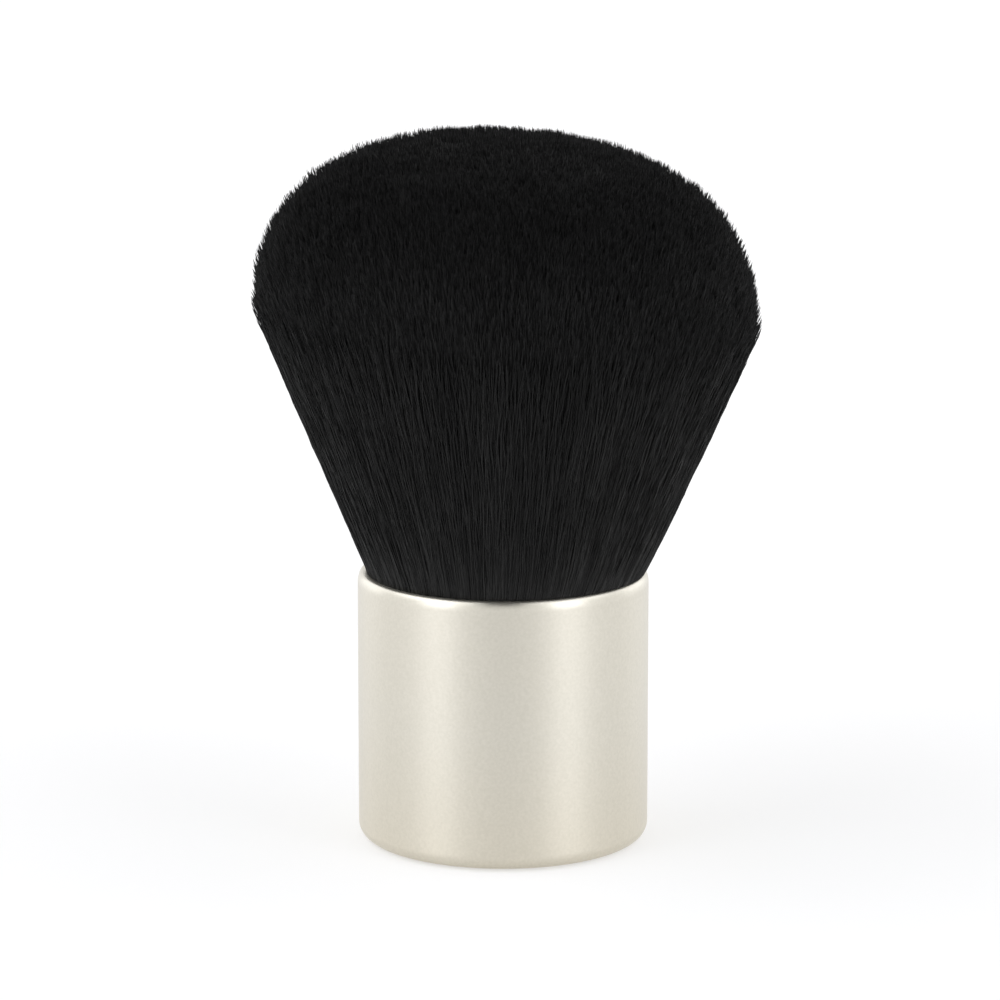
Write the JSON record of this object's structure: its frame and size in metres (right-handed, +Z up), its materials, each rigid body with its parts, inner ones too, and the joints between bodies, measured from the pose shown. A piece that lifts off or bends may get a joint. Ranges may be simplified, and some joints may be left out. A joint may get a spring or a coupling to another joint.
{
  "type": "kabuki makeup brush",
  "caption": "Short kabuki makeup brush: a satin metal cup handle holding a wide, flared tuft of dense black bristles with a domed top, for spreading loose powder.",
  "frame": {"origin": "centre of the handle's base, on the surface that the brush stands on", "axes": "+Z up the brush's axis to the crown of the tuft; +Y away from the pictured front"},
  "size_m": [0.0476, 0.0476, 0.0685],
  "materials": {
    "satin_aluminium": "satin",
    "moulded_plastic": "matte",
    "plain_steel": "satin",
    "cured_adhesive": "gloss",
    "raw_aluminium": "satin",
    "cast_epoxy": "gloss",
    "tying_thread": "matte",
    "black_bristle": "satin"
  },
  "bodies": {
    "root": {"handle_shell": "satin_aluminium", "core_insert": "moulded_plastic", "weight_slug": "plain_steel", "insert_adhesive": "cured_adhesive", "seat_adhesive": "cured_adhesive", "tuft_ring": "raw_aluminium", "root_plug": "cast_epoxy", "binding_thread": "tying_thread", "bristle_tuft": "black_bristle"}
  },
  "joints": []
}
